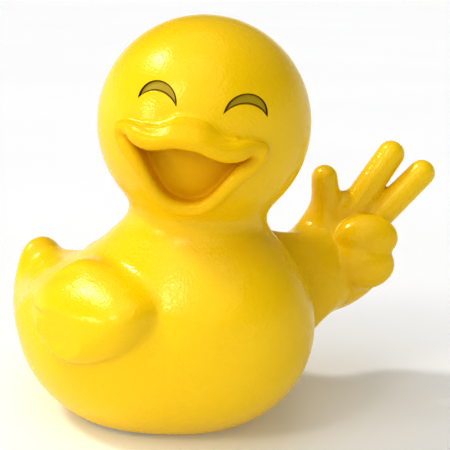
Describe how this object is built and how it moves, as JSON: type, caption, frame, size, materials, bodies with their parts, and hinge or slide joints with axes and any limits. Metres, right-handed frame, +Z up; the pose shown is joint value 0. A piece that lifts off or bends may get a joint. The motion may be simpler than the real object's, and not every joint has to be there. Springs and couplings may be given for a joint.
{
  "type": "floating chlorine dispenser",
  "caption": "Laughing duck pool float with a raised hand, holding a pull-down tablet cartridge with a bayonet cap and a flow dial in its flat belly.",
  "frame": {"origin": "on the axis of the tablet cartridge, at the flat base plane that the float rests on", "axes": "+Z up, +Y towards the tail, +X towards the raised left hand"},
  "size_m": [0.273, 0.2509, 0.2644],
  "materials": {
    "duck_yellow": "glossy soft vinyl with a fine pebbled skin",
    "beak_yellow": "glossy, slightly deeper yellow",
    "mouth_yellow": "satin, deep yellow",
    "eye_olive": "satin olive",
    "well_grey": "moulded light grey",
    "seal_rubber": "black rubber",
    "steel": "stainless",
    "ballast_iron": "coated cast iron",
    "tube_plastic": "milky vinyl",
    "basket_white": "moulded white",
    "tablet": "pressed chalky white",
    "cap_blue": "moulded blue",
    "dial_white": "moulded white"
  },
  "bodies": {
    "duck": {"duck_shell": "duck_yellow", "beak": "beak_yellow", "mouth_lining": "mouth_yellow", "eye_right": "eye_olive", "eye_left": "eye_olive", "well_liner": "well_grey", "well_gasket": "seal_rubber", "well_screw_1": "steel", "well_screw_2": "steel", "well_screw_3": "steel", "well_screw_4": "steel", "well_screw_5": "steel", "well_screw_6": "steel", "ballast_ring": "ballast_iron", "vent_tube": "tube_plastic", "vent_seal_lower": "seal_rubber", "vent_seal_upper": "seal_rubber", "vent_cap": "duck_yellow"},
    "cartridge": {"tablet_basket": "basket_white", "chlorine_tablet_1": "tablet", "chlorine_tablet_2": "tablet", "chlorine_tablet_3": "tablet", "pivot_pin": "steel"},
    "cap": {"lock_cap": "cap_blue"},
    "dial": {"flow_dial": "dial_white", "wave_washer": "steel"}
  },
  "joints": [
    {"name": "cartridge_slide", "type": "slide", "parent": "duck", "child": "cartridge", "axis": [0, 0, -1], "range_m": [0, 0.105]},
    {"name": "cap_turn", "type": "hinge", "parent": "cartridge", "child": "cap", "pos_m": [0, 0, 0.009], "axis": [0, 0, 1], "range_deg": [0, 60]},
    {"name": "dial_turn", "type": "hinge", "parent": "cap", "child": "dial", "pos_m": [0, 0, 0.006], "axis": [0, 0, 1], "range_deg": [0, 30]}
  ]
}
